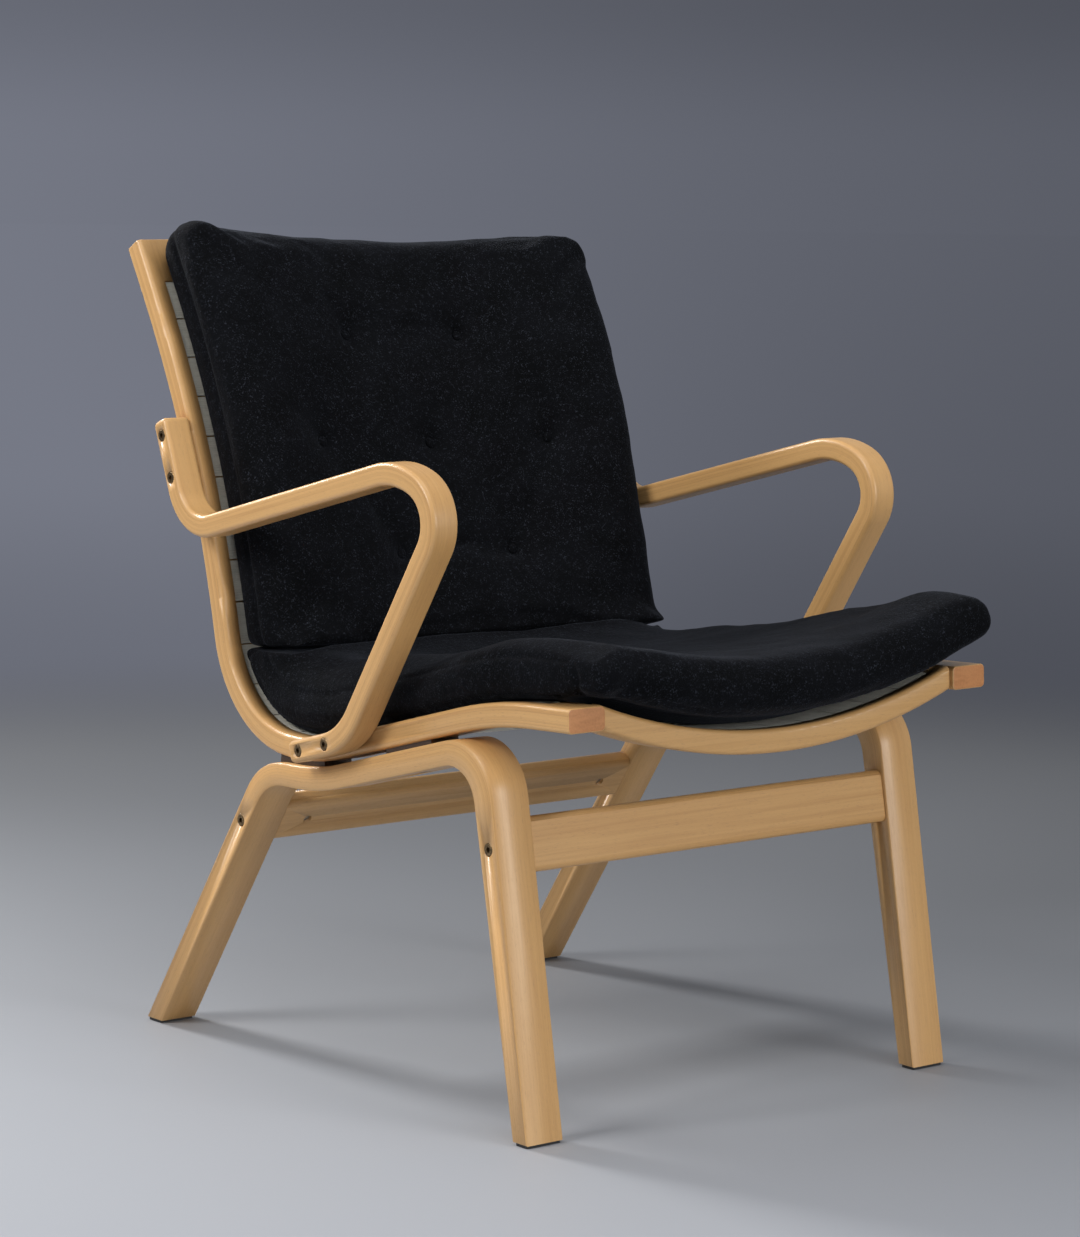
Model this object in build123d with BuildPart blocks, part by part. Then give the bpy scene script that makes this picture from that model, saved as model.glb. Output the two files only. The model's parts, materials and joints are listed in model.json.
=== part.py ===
from build123d import *
import os
from math import cos, degrees, radians, sin, sqrt

# Bentwood lounge chair: two laminated side members carry a webbed seat and back, two laminated
# base frames stand under them, and two bent arms join seat and back. Two loose cushions lie on it.
#
# Millimetres. X runs across the chair, Y from front to back and Z up. The origin is on the floor,
# in the middle of the chair. "Right" is the sitter's right, on the -X side, and each left-hand
# piece mirrors its right-hand one. The side view is drawn in the YZ plane, where a heading is an
# angle from +Y, positive upwards.

# --- Side members, drawn along the underside from the front end to the top end -----------------
front_foot_y = -332.8  # front of the front feet
front_end_lead = 48.0  # the seat's front end stands ahead of the feet
front_end_height = 404.4
front_heading = -2.6
front_radius = 491.0
seat_heading = -15.1  # the seat falls towards the back
seat_run = 204.5
dip_radius = 297.0
dip_end_heading = 4.4
rise_radius = 138.0  # the tight bend from seat to back
back_start_heading = 77.5
back_run = 13.4
back_radius = 1157.0  # the back curves away from the sitter
top_heading = 59.6
straight_past_rail = 10.0  # a straight stretch carries each rail and runs on past it
member_width = 45.0
member_thick = 24.0
seat_frame_width = 548.0  # over both side members
edge_round = 5.0  # long edges of members, rails and arms
end_round = 1.5

# --- Base frames -------------------------------------------------------------------------------
base_width = 45.0
base_thick = 24.0
base_step_out = 5.0  # each base frame stands out past its side member
base_chamfer = 1.2
front_leg_heading = 79.85
front_leg_taper = 1.35
front_foot_depth = 22.0
rear_leg_heading = 124.2
rear_foot_depth = 27.7
rest_heading = -1.7  # the flat behind the dip in the top run
rest_run = 64.3  # from the end of the dip to the corner over the rear leg
knee_radius = 60.0
knee_inner_radius = 38.0
haunch_radius = 78.0  # the bend over the rear leg
haunch_inner_radius = 54.0
glide_thick = 3.0
glide_inset = 2.0

# --- Stretchers between the base frames --------------------------------------------------------
stretcher_height = 54.0
stretcher_thick = 21.0
stretcher_round = 7.0
front_stretcher_z = 279.5
rear_stretcher_z = 246.0

# --- Rails and webbing -------------------------------------------------------------------------
rail_depth = 45.0
rail_thick = 24.0
rail_setback = 5.0  # rails lie a little inside the ends of the side members
dish = 42.0  # seat and back sag this much in the middle of their width
rail_land = 15.0  # the part of a rail in front of the webbing
shelf_width = 27.0  # rebate along the inner edge of each side member
strap_thick = 1.5
strap_pitch = 44.7
strap_slit = 1.0
long_strap_count = 10
long_strap_edge = 17.0  # from the side members to the outermost long straps
web_gap = 0.3  # round the edge of the webbing

# --- Arms --------------------------------------------------------------------------------------
arm_width = 32.0
arm_thick = 23.0
arm_rise = 15.0  # the arm's middle line above the member's underside
arm_foot_run = 59.0
arm_foot_radius = 84.0
arm_upright_heading = 123.15
arm_front_radius = 42.0
arm_front_heading = 22.5
arm_crown_radius = 93.0
arm_rest_heading = -14.3
arm_back_radius = 52.6
arm_head_run = 77.0
arm_end_round = 6.0
arm_foot_place = 348.0  # along the member's underside, to the front bolt at the arm's foot
arm_head_place = 842.0  # and to the middle of the arm's upper end
arm_bolt_pitch = 46.0
arm_bolt_edge = 17.0  # end of the arm to its nearest bolt

# --- Spacers between base and seat -------------------------------------------------------------
spacer_thick = 5.0
spacer_length = 76.0
front_spacer_place = 258.0
rear_spacer_place = 441.0

# --- Fastenings --------------------------------------------------------------------------------
bolt_dia = 6.0
head_dia = 13.0
head_height = 4.0
head_chamfer = 0.8
socket_width = 5.0
socket_depth = 2.5
hole_clearance = 0.3
thread_clearance = 0.1
insert_dia = 10.0
arm_insert_length = 18.0
frame_insert_length = 12.0
insert_sunk = 0.3  # below the face of the timber
bore_end_gap = 1.0
barrel_dia = 10.0
barrel_length = 14.0
barrel_inset = 34.0  # end of a stretcher to the middle of its barrel nut
bolt_past_nut = 3.0
bolt_in_insert = 2.0  # the bolt stops short of the insert's inner end
dowel_dia = 8.0
dowel_length = 36.0
press_fit = 0.05  # round dowels and inserts
stretcher_dowel_drop = 15.0  # below the bolt
rail_dowel_pitch = 22.0

# --- Cushions ----------------------------------------------------------------------------------
cushion_gap = 0.4
cushion_side_gap = 18.0  # from a cushion's side to the outer face of the side member
cushion_join = 633.0  # along the member, where the back cushion stands level on the seat cushion
seat_side_height = 50.0  # up to the side seam
seat_crown = 16.0
seat_overhang = 23.0
back_side_height = 54.0
back_crown = 12.0
back_setback = 6.0  # from the top end of the side members
nose_reach = 20.0  # rounding of a cushion's free end
top_draw = 16.0  # the upper panel falls to the side seam
under_draw = 8.0  # and the lower one rises to it
side_reach = 36.0  # over this width
side_stations = (0, 0.08, 0.35, 1)  # sections drawn, as shares of side_reach
middle_stations = (1, 0.8, 0.55, 0.28, 0)  # and of the half width between the side members
run_points = 24  # points along each section
tuft_row_places = (951.0, 832.0, 713.0)  # along the member
tuft_row_counts = (2, 3, 2)
tuft_pitch = 149.0
tuft_mouth = 25.0
tuft_depth = 11.0
button_dia = 15.0
button_height = 4.0
button_round = 3.0

tolerance = 0.001  # lengths nearer than this are the same

# --- Worked out from the sizes above -----------------------------------------------------------
member_outer = seat_frame_width / 2
member_inner = member_outer - member_width
base_outer = member_outer + base_step_out
base_inner = base_outer - base_width
arm_outer = member_outer + arm_width
rail_back = rail_setback + rail_depth
end_run = rail_back + straight_past_rail
shelf_depth = 2 * strap_thick
long_strap_pitch = (2 * (member_inner - long_strap_edge) + strap_slit) / long_strap_count
cushion_half_width = member_outer - cushion_side_gap


class BentLine:
    """Tangent straights and bends in the side view, given as (length, curvature) runs."""

    def __init__(self, start, heading, runs):
        self.start = start
        self.heading = radians(heading)
        self.runs = runs
        self.length = sum(length for length, curve in runs)

    def at(self, distance, rise=0.0):
        """Point (y, z) and heading at a distance, moved rise square to the line.
        Past either end the line runs on straight."""
        y, z = self.start
        heading = self.heading
        for index, (length, curve) in enumerate(self.runs):
            last = index == len(self.runs) - 1
            step = distance if last else min(distance, length)
            if curve:
                y += (sin(heading + curve * step) - sin(heading)) / curve
                z -= (cos(heading + curve * step) - cos(heading)) / curve
                heading += curve * step
            else:
                y += step * cos(heading)
                z += step * sin(heading)
            distance -= step
            if distance <= 0:
                break
        return (y - rise * sin(heading), z + rise * cos(heading)), degrees(heading)

    def place_at_height(self, height, rise, begin):
        """Distance at which the line, moved rise square to itself, climbs past a height."""
        low, high = begin, self.length
        while high - low > tolerance:
            middle = (low + high) / 2
            if self.at(middle, rise)[0][1] < height:
                low = middle
            else:
                high = middle
        return low

    def draw(self, rise, begin, finish):
        """Draws the line, moved rise square to itself, between two distances."""
        reached = 0.0
        for index, (length, curve) in enumerate(self.runs):
            near = begin if index == 0 else max(begin, reached)
            reached += length
            far = finish if index == len(self.runs) - 1 else min(finish, reached)
            if far - near < tolerance:
                continue
            if curve:
                points = [self.at(place, rise)[0] for place in (near, (near + far) / 2, far)]
                ThreePointArc(*points)
            else:
                Line(self.at(near, rise)[0], self.at(far, rise)[0])

    def outline(self, low, high, begin, finish):
        """Draws two parallels of the line and the square ends between them."""
        self.draw(low, begin, finish)
        self.draw(high, begin, finish)
        Line(self.at(begin, low)[0], self.at(begin, high)[0])
        Line(self.at(finish, low)[0], self.at(finish, high)[0])

    def across(self, distance, rise, x=0.0):
        """Plane square to the line: local x across the chair, local y down into the depth."""
        (y, z), heading = self.at(distance, rise)
        along = (0, cos(radians(heading)), sin(radians(heading)))
        return Plane(origin=(x, y, z), x_dir=(1, 0, 0), z_dir=along)

    def below(self, distance, rise, x):
        """Plane on the underside, looking down and away from the timber."""
        (y, z), heading = self.at(distance, rise)
        down = (0, sin(radians(heading)), -cos(radians(heading)))
        return Plane(origin=(x, y, z), x_dir=(1, 0, 0), z_dir=down)

    def above(self, distance, rise, x):
        """Plane on the upper face, looking up and away from the timber."""
        (y, z), heading = self.at(distance, rise)
        up = (0, -sin(radians(heading)), cos(radians(heading)))
        return Plane(origin=(x, y, z), x_dir=(1, 0, 0), z_dir=up)


def bend(radius, from_heading, to_heading):
    """A bend's length and its curvature, positive when it turns upwards."""
    turn = radians(to_heading - from_heading)
    return radius * abs(turn), (1 if turn > 0 else -1) / radius


def meet(first, first_heading, second, second_heading):
    """Where two lines cross in the side view, each given by a point and a heading."""
    a = radians(first_heading)
    b = radians(second_heading)
    gap_y = second[0] - first[0]
    gap_z = second[1] - first[1]
    reach = (gap_y * sin(b) - gap_z * cos(b)) / sin(b - a)
    return first[0] + reach * cos(a), first[1] + reach * sin(a)


def sideways(point, x, facing):
    """Plane at a point (y, z) of the side view, looking along +X or -X."""
    return Plane(origin=(x, *point), x_dir=(0, 1, 0), z_dir=(facing, 0, 0))


def finish_piece(piece, name):
    """Names a finished piece and writes it out."""
    piece.part.label = name
    export_step(piece.part, f"parts/{name}.step")


os.makedirs("parts", exist_ok=True)

member = BentLine(
    (front_foot_y - front_end_lead, front_end_height),
    front_heading,
    (
        (end_run, 0.0),
        bend(front_radius, front_heading, seat_heading),
        (seat_run, 0.0),
        bend(dip_radius, seat_heading, dip_end_heading),
        bend(rise_radius, dip_end_heading, back_start_heading),
        (back_run, 0.0),
        bend(back_radius, back_start_heading, top_heading),
        (end_run, 0.0),
    ),
)
top_rail_front = member.length - rail_back  # the top rail's lower edge
dip_start = sum(length for length, curve in member.runs[:3])
rest_start = dip_start + dip_radius * radians(rest_heading - seat_heading)

# --- Arms: their middle line starts at the foot, behind the lower bolts ------------------------
arm_foot, arm_foot_heading = member.at(arm_foot_place, arm_rise)
foot_past_bolt = arm_bolt_pitch + arm_bolt_edge
arm_start = (
    arm_foot[0] + foot_past_bolt * cos(radians(arm_foot_heading)),
    arm_foot[1] + foot_past_bolt * sin(radians(arm_foot_heading)),
)
arm_head, arm_head_heading = member.at(arm_head_place, arm_rise)
arm_end = (
    arm_head[0] + arm_head_run / 2 * cos(radians(arm_head_heading)),
    arm_head[1] + arm_head_run / 2 * sin(radians(arm_head_heading)),
)
arm_bends = (
    bend(arm_foot_radius, arm_foot_heading + 180, arm_upright_heading),
    bend(arm_front_radius, arm_upright_heading, arm_front_heading),
    bend(arm_crown_radius, arm_front_heading, arm_rest_heading),
    bend(arm_back_radius, arm_rest_heading, arm_head_heading),
)


def arm_line(upright, rest):
    """The arm's middle line for a length of its upright and of its rest."""
    foot, front, crown, back = arm_bends
    runs = ((arm_foot_run, 0), foot, (upright, 0), front, crown, (rest, 0), back, (arm_head_run, 0))
    return BentLine(arm_start, arm_foot_heading + 180, runs)


# The two straight lengths that bring the arm's upper end to its place on the side member
short_line = arm_line(0, 0)
short_end = short_line.at(short_line.length)[0]
corner = meet(short_end, arm_upright_heading, arm_end, arm_rest_heading)
arm_upright = sqrt((corner[0] - short_end[0]) ** 2 + (corner[1] - short_end[1]) ** 2)
arm_rest = sqrt((arm_end[0] - corner[0]) ** 2 + (arm_end[1] - corner[1]) ** 2)
arm = arm_line(arm_upright, arm_rest)
arm_bolt_places = (
    arm_bolt_edge,
    arm_bolt_edge + arm_bolt_pitch,
    arm.length - arm_bolt_edge - arm_bolt_pitch,
    arm.length - arm_bolt_edge,
)
arm_bolt_points = [arm.at(place)[0] for place in arm_bolt_places]

# --- Bolt and dowel places that two or more pieces share ---------------------------------------
frame_bolt_x = -(base_inner + member_outer) / 2
frame_bolt_places = (front_spacer_place, rear_spacer_place)
rail_middles = (rail_setback + rail_depth / 2, member.length - rail_setback - rail_depth / 2)
rail_dowel_points = [
    member.at(middle + side * rail_dowel_pitch / 2, member_thick - rail_thick / 2)[0]
    for middle in rail_middles
    for side in (-1, 1)
]
dowel_bore = dowel_dia / 2 + press_fit
insert_bore = insert_dia / 2 + press_fit
thread_bore = bolt_dia / 2 + thread_clearance
bolt_bore = bolt_dia / 2 + hole_clearance
head_bore = head_dia / 2 + hole_clearance
base_rise = -(spacer_thick + base_thick)  # underside of a base frame's top run


def side_edges(piece, end_width):
    """Edges along a bar's two side faces, without those across its ends."""
    edges = piece.faces().filter_by(Axis.X).edges()
    return edges.filter_by(lambda edge: abs(edge.length - end_width) > tolerance)


# --- Side members: a shelf along the inner edge takes the ends of the cross straps -------------
with BuildPart() as side_member_right:
    with BuildSketch(Plane.YZ.offset(-member_outer)):
        with BuildLine():
            member.outline(0, member_thick, 0, member.length)
        make_face()
    extrude(amount=member_width)
    fillet(side_edges(side_member_right, member_thick), edge_round)
    for place in (0, member.length):
        middle = Vector(member_width / 2 - member_outer, *member.at(place, member_thick / 2)[0])
        fillet(side_member_right.faces().sort_by_distance(middle)[0].edges(), end_round)
    with BuildSketch(Plane.YZ.offset(-member_inner - shelf_width)):
        with BuildLine():
            member.outline(member_thick - shelf_depth, 2 * member_thick, rail_back, top_rail_front)
        make_face()
    extrude(amount=shelf_width, mode=Mode.SUBTRACT)
    with Locations(*[sideways(point, -member_outer, -1) for point in arm_bolt_points]):
        Hole(insert_bore, arm_insert_length + bore_end_gap)
    with Locations(*[member.below(place, 0, frame_bolt_x) for place in frame_bolt_places]):
        Hole(insert_bore, frame_insert_length + bore_end_gap)
    with Locations(*[sideways(point, -member_inner, 1) for point in rail_dowel_points]):
        Hole(dowel_bore, dowel_length / 2 + bore_end_gap)
finish_piece(side_member_right, "side_member_right")

with BuildPart() as side_member_left:
    mirror(side_member_right.part, about=Plane.YZ)
finish_piece(side_member_left, "side_member_left")

# --- Base frames: front leg, top run and rear leg are one bent lamination ----------------------
front_leg_inner_heading = front_leg_heading - front_leg_taper
front_feet = (front_foot_y, 0), (front_foot_y + front_foot_depth, 0)
rest_begin = member.at(rest_start, -spacer_thick)[0]
haunch = (
    rest_begin[0] + rest_run * cos(radians(rest_heading)),
    rest_begin[1] + rest_run * sin(radians(rest_heading)),
)
rear_foot_y = meet(haunch, rear_leg_heading, (0, 0), 0)[0]
rear_feet = (rear_foot_y, 0), (rear_foot_y - rear_foot_depth, 0)


def base_corners(depth, front_foot, front_rise, rear_foot):
    """Foot, knee, dip, haunch and foot on one side of a base frame, under the side member."""
    floor = (0, glide_thick)
    slope = member.at(dip_start, -depth)[0]
    rest = member.at(rest_start, -depth)[0]
    return (
        meet(front_foot, front_rise, floor, 0),
        meet(front_foot, front_rise, slope, seat_heading),
        meet(slope, seat_heading, rest, rest_heading),
        meet(rest, rest_heading, rear_foot, rear_leg_heading),
        meet(rear_foot, rear_leg_heading, floor, 0),
    )


def leg_middle(feet, headings, height):
    """Middle of a leg's thickness at a height, between its two outline lines."""
    sides = [meet(foot, heading, (0, height), 0) for foot, heading in zip(feet, headings)]
    return (sides[0][0] + sides[1][0]) / 2, height


front_leg_headings = (front_leg_heading, front_leg_inner_heading)
rear_leg_headings = (rear_leg_heading, rear_leg_heading)
front_stretcher_point = leg_middle(front_feet, front_leg_headings, front_stretcher_z)
rear_stretcher_point = leg_middle(rear_feet, rear_leg_headings, rear_stretcher_z)
front_tilt = (front_leg_heading + front_leg_inner_heading) / 2


def down_the_leg(point, heading, reach):
    """A point further down a leg."""
    return point[0] - reach * cos(radians(heading)), point[1] - reach * sin(radians(heading))


stretcher_points = (front_stretcher_point, rear_stretcher_point)
stretcher_dowel_points = (
    down_the_leg(front_stretcher_point, front_tilt, stretcher_dowel_drop),
    down_the_leg(rear_stretcher_point, rear_leg_heading, stretcher_dowel_drop),
)

with BuildPart() as base_frame_right:
    with BuildSketch(Plane.YZ.offset(-base_outer)):
        with BuildLine():
            upper = base_corners(spacer_thick, front_feet[0], front_leg_heading, rear_feet[0])
            lower = base_corners(-base_rise, front_feet[1], front_leg_inner_heading, rear_feet[1])
            turns = (knee_radius, dip_radius + spacer_thick, haunch_radius)
            inner_turns = (knee_inner_radius, dip_radius - base_rise, haunch_inner_radius)
            outer_line = FilletPolyline(*upper, radius=turns)
            inner_line = FilletPolyline(*lower, radius=inner_turns)
            Line(outer_line @ 0, inner_line @ 0)
            Line(outer_line @ 1, inner_line @ 1)
        make_face()
    extrude(amount=base_width)
    chamfer(base_frame_right.faces().filter_by(Axis.X).edges(), base_chamfer)
    with Locations(*[sideways(point, -base_outer, -1) for point in stretcher_points]):
        CounterBoreHole(bolt_bore, head_bore, head_height, base_width)
    with Locations(*[sideways(point, -base_inner, 1) for point in stretcher_dowel_points]):
        Hole(dowel_bore, dowel_length / 2 + bore_end_gap)
    with Locations(*[member.below(place, base_rise, frame_bolt_x) for place in frame_bolt_places]):
        CounterBoreHole(bolt_bore, head_bore, head_height, base_thick * 2)
finish_piece(base_frame_right, "base_frame_right")

with BuildPart() as base_frame_left:
    mirror(base_frame_right.part, about=Plane.YZ)
finish_piece(base_frame_left, "base_frame_left")

with BuildPart() as foot_glides:
    for feet, headings in ((front_feet, front_leg_headings), (rear_feet, rear_leg_headings)):
        foot_y = leg_middle(feet, headings, glide_thick / 2)[0]
        foot_depth = abs(feet[1][0] - feet[0][0])
        for side in (-1, 1):
            with BuildSketch(Plane.XY):
                with Locations((side * (base_outer + base_inner) / 2, foot_y)):
                    RectangleRounded(
                        base_width - 2 * glide_inset,
                        foot_depth - 2 * glide_inset,
                        glide_inset,
                    )
            extrude(amount=glide_thick)
finish_piece(foot_glides, "foot_glides")


# --- Stretchers: boards between the legs, each end on one bolt and one dowel -------------------
rear_tilt = rear_leg_heading + 180
stretcher_bolt_reach = barrel_inset + barrel_dia / 2 + bolt_past_nut


def stretcher(point, heading, dowel_point):
    """A rounded board along X through a point of the side view, slanting with its leg."""
    with BuildPart() as board:
        with BuildSketch(Plane.YZ.offset(-base_inner)):
            with Locations(point):
                RectangleRounded(stretcher_height, stretcher_thick, stretcher_round, heading)
        extrude(amount=2 * base_inner)
        for side in (-1, 1):
            with Locations(sideways(point, side * base_inner, side)):
                Hole(bolt_bore, stretcher_bolt_reach + bore_end_gap)
            with Locations(sideways(dowel_point, side * base_inner, side)):
                Hole(dowel_bore, dowel_length / 2 + bore_end_gap)
            with Locations(barrel_plane(point, heading, side, stretcher_thick / 2)):
                Hole(barrel_bore, (stretcher_thick + barrel_length) / 2)
    return board


def barrel_plane(point, heading, side, out):
    """Plane across a barrel nut, out from the board's middle towards its inner face."""
    inward = radians(heading - 90)
    y = point[0] + out * cos(inward)
    z = point[1] + out * sin(inward)
    return Plane(
        origin=(side * (base_inner - barrel_inset), y, z),
        x_dir=(1, 0, 0),
        z_dir=(0, cos(inward), sin(inward)),
    )


barrel_bore = barrel_dia / 2 + press_fit
front_stretcher = stretcher(front_stretcher_point, front_tilt, stretcher_dowel_points[0])
finish_piece(front_stretcher, "front_stretcher")
rear_stretcher = stretcher(rear_stretcher_point, rear_tilt, stretcher_dowel_points[1])
finish_piece(rear_stretcher, "rear_stretcher")

with BuildPart() as stretcher_barrel_nuts:
    for point, heading in ((front_stretcher_point, front_tilt), (rear_stretcher_point, rear_tilt)):
        for side in (-1, 1):
            with Locations(barrel_plane(point, heading, side, 0)):
                Cylinder(barrel_dia / 2, barrel_length)
            with Locations(sideways(point, side * base_inner, side)):
                Hole(thread_bore, stretcher_bolt_reach + bore_end_gap)
finish_piece(stretcher_barrel_nuts, "stretcher_barrel_nuts")


# --- Bolts: flush round heads with a hexagon socket --------------------------------------------
def socket_bolt(length):
    """A bolt standing head up, the top of its head at the origin."""
    with BuildPart() as bolt:
        with BuildSketch():
            Circle(head_dia / 2)
        extrude(amount=-head_height)
        chamfer(bolt.faces().sort_by(Axis.Z)[-1].edges(), head_chamfer)
        with BuildSketch(Plane.XY.offset(-head_height)):
            Circle(bolt_dia / 2)
        extrude(amount=head_height - length)
        with BuildSketch():
            RegularPolygon(socket_width / 2, 6, major_radius=False)
        extrude(amount=-socket_depth, mode=Mode.SUBTRACT)
    return bolt


def on_both_sides(piece, planes):
    """A group of like pieces, one on each plane of the right side and one mirrored."""
    with BuildPart() as group:
        with Locations(*planes):
            add(piece.part)
        mirror(group.part, about=Plane.YZ)
    return group


stretcher_bolt_planes = [sideways(point, -base_outer, -1) for point in stretcher_points]
arm_bolt_planes = [sideways(point, -arm_outer, -1) for point in arm_bolt_points]
frame_bolt_planes = [member.below(place, base_rise, frame_bolt_x) for place in frame_bolt_places]
frame_bolt_length = base_thick + spacer_thick + frame_insert_length - bolt_in_insert

stretcher_bolts = on_both_sides(
    socket_bolt(base_width + stretcher_bolt_reach), stretcher_bolt_planes
)
finish_piece(stretcher_bolts, "stretcher_bolts")
arm_bolts = on_both_sides(
    socket_bolt(arm_width + arm_insert_length - bolt_in_insert), arm_bolt_planes
)
finish_piece(arm_bolts, "arm_bolts")
frame_bolts = on_both_sides(socket_bolt(frame_bolt_length), frame_bolt_planes)
finish_piece(frame_bolts, "frame_bolts")


# --- Threaded inserts in the side members ------------------------------------------------------
def threaded_insert(length):
    """A plain sleeve, just below the face of the timber, which is at the origin."""
    with BuildPart() as sleeve:
        with BuildSketch(Plane.XY.offset(-insert_sunk)):
            Circle(insert_dia / 2)
            Circle(thread_bore, mode=Mode.SUBTRACT)
        extrude(amount=-length)
    return sleeve


arm_insert_nuts = on_both_sides(
    threaded_insert(arm_insert_length),
    [sideways(point, -member_outer, -1) for point in arm_bolt_points],
)
finish_piece(arm_insert_nuts, "arm_insert_nuts")
frame_insert_nuts = on_both_sides(
    threaded_insert(frame_insert_length),
    [member.below(place, 0, frame_bolt_x) for place in frame_bolt_places],
)
finish_piece(frame_insert_nuts, "frame_insert_nuts")


# --- Dowels, half in each timber ---------------------------------------------------------------
def dowel():
    """A round peg along Z, its middle at the origin."""
    with BuildPart() as peg:
        Cylinder(dowel_dia / 2, dowel_length)
    return peg


stretcher_dowels = on_both_sides(
    dowel(), [sideways(point, -base_inner, -1) for point in stretcher_dowel_points]
)
finish_piece(stretcher_dowels, "stretcher_dowels")
rail_dowels = on_both_sides(
    dowel(), [sideways(point, -member_inner, -1) for point in rail_dowel_points]
)
finish_piece(rail_dowels, "rail_dowels")

# --- Spacers: dark blocks that lift the seat off the base, one round each frame bolt -----------
with BuildPart() as seat_spacers:
    for place in frame_bolt_places:
        with BuildSketch(Plane.YZ.offset(edge_round - member_outer)):
            with BuildLine():
                begin = place - spacer_length / 2
                finish = place + spacer_length / 2
                member.outline(0, -2 * spacer_thick, begin, finish)
            make_face()
        extrude(amount=member_outer - edge_round - base_inner - base_chamfer)
        with Locations(member.below(place, 0, frame_bolt_x)):
            Hole(bolt_bore, 2 * spacer_thick)
    add(base_frame_right.part, mode=Mode.SUBTRACT)
    mirror(seat_spacers.part, about=Plane.YZ)
finish_piece(seat_spacers, "seat_spacers")

# --- Rails: bent bars between the side members, sagging to make the seat and back hollow -------
dish_radius = (member_inner**2 + dish**2) / (2 * dish)


def sag(x):
    """How far the webbing lies below the side members' faces at a distance from the middle."""
    if abs(x) >= member_inner:
        return 0.0
    return dish - dish_radius + sqrt(dish_radius**2 - x**2)


def dish_outline(top, bottom, half_width):
    """Draws a sagging band between two depths, with its square ends at half_width."""
    end = sag(half_width)
    for depth in (top, bottom):
        ThreePointArc((-half_width, depth + end), (0, depth + dish), (half_width, depth + end))
    for x in (-half_width, half_width):
        Line((x, top + end), (x, bottom + end))


def rail(place, direction, dowel_points):
    """A bent rail; the webbing lies on a rebate behind its land."""
    with BuildPart() as bar:
        with BuildSketch(member.across(place, member_thick)):
            with BuildLine():
                dish_outline(0, rail_thick, member_inner)
            make_face()
        extrude(amount=direction * rail_depth)
        fillet(bar.edges().filter_by(GeomType.CIRCLE), edge_round)
        with BuildSketch(member.across(place + direction * rail_land, member_thick)):
            with BuildLine():
                dish_outline(-rail_thick, strap_thick, member_inner)
            make_face()
        extrude(amount=direction * rail_depth, mode=Mode.SUBTRACT)
        for side in (-1, 1):
            with Locations(*[sideways(point, side * member_inner, side) for point in dowel_points]):
                Hole(dowel_bore, dowel_length / 2 + bore_end_gap)
    return bar


front_rail = rail(rail_setback, 1, rail_dowel_points[:2])
finish_piece(front_rail, "front_rail")
top_rail = rail(member.length - rail_setback, -1, rail_dowel_points[2:])
finish_piece(top_rail, "top_rail")


# --- Webbing: cross straps end on the side members' shelves, long straps on the rails ----------
def face_travel(place):
    """Length along the member's upper face from the front end to a place on its underside."""
    travel = 0.0
    for length, curve in member.runs:
        step = min(place, length)
        travel += step * (1 - member_thick * curve)
        place -= step
    return travel


def face_place(travel):
    """Place along the member's underside that lies under a travel along its upper face."""
    place = 0.0
    for length, curve in member.runs:
        scale = 1 - member_thick * curve
        if travel <= length * scale:
            break
        travel -= length * scale
        place += length
    return place + travel / scale


web_top = face_travel(top_rail_front - web_gap)
strap_count = int((web_top - face_travel(rail_back + web_gap)) / strap_pitch)
slit_places = [face_place(web_top - index * strap_pitch) for index in range(strap_count + 1)]
shelf_end = member_inner + shelf_width - web_gap

with BuildPart() as cross_straps:
    with BuildLine(Plane.YZ):
        member.draw(member_thick, slit_places[-1], slit_places[0])
    with BuildSketch(member.across(slit_places[-1], member_thick)):
        with BuildLine():
            for depth in (strap_thick, shelf_depth):
                ends = (-member_inner, depth), (member_inner, depth)
                Line((-shelf_end, depth), ends[0])
                ThreePointArc(ends[0], (0, depth + dish), ends[1])
                Line(ends[1], (shelf_end, depth))
            for x in (-shelf_end, shelf_end):
                Line((x, strap_thick), (x, shelf_depth))
        make_face()
    sweep()
    for place in slit_places[1:-1]:
        with BuildSketch(member.across(place, member_thick)):
            Rectangle(2 * member_outer, 3 * dish)
        extrude(amount=strap_slit / 2, both=True, mode=Mode.SUBTRACT)
finish_piece(cross_straps, "cross_straps")

long_strap_begin = rail_setback + rail_land + web_gap
with BuildPart() as lengthwise_straps:
    with BuildLine(Plane.YZ):
        member.draw(member_thick, long_strap_begin, member.length - long_strap_begin)
    with BuildSketch(member.across(long_strap_begin, member_thick)):
        with BuildLine():
            dish_outline(0, strap_thick, (long_strap_count * long_strap_pitch - strap_slit) / 2)
        make_face()
        with GridLocations(long_strap_pitch, 0, long_strap_count - 1, 1):
            Rectangle(strap_slit, 3 * dish, mode=Mode.SUBTRACT)
    sweep()
finish_piece(lengthwise_straps, "lengthwise_straps")

# --- Arms: one bent bar each, lying against the outside of the side member at both ends --------
with BuildPart() as arm_right:
    with BuildSketch(Plane.YZ.offset(-arm_outer)) as arm_side:
        with BuildLine():
            arm.outline(-arm_thick / 2, arm_thick / 2, 0, arm.length)
        make_face()
        ends = [arm.at(place, side * arm_thick / 2)[0] for place in (0, arm.length) for side in (-1, 1)]
        corners = [arm_side.vertices().sort_by_distance(end)[0] for end in ends]
        fillet(corners, arm_end_round)
    extrude(amount=arm_width)
    fillet(arm_right.faces().filter_by(Axis.X).edges(), edge_round)
    with Locations(*arm_bolt_planes):
        CounterBoreHole(bolt_bore, head_bore, head_height, 2 * arm_width)
finish_piece(arm_right, "arm_right")

with BuildPart() as arm_left:
    mirror(arm_right.part, about=Plane.YZ)
finish_piece(arm_left, "arm_left")

# --- Cushions: boxed pads that follow the sagging webbing --------------------------------------
section_places = {cushion_half_width - side_reach * share for share in side_stations}
section_places |= {member_inner * share for share in middle_stations}
section_places |= {-x for x in section_places}


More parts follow.
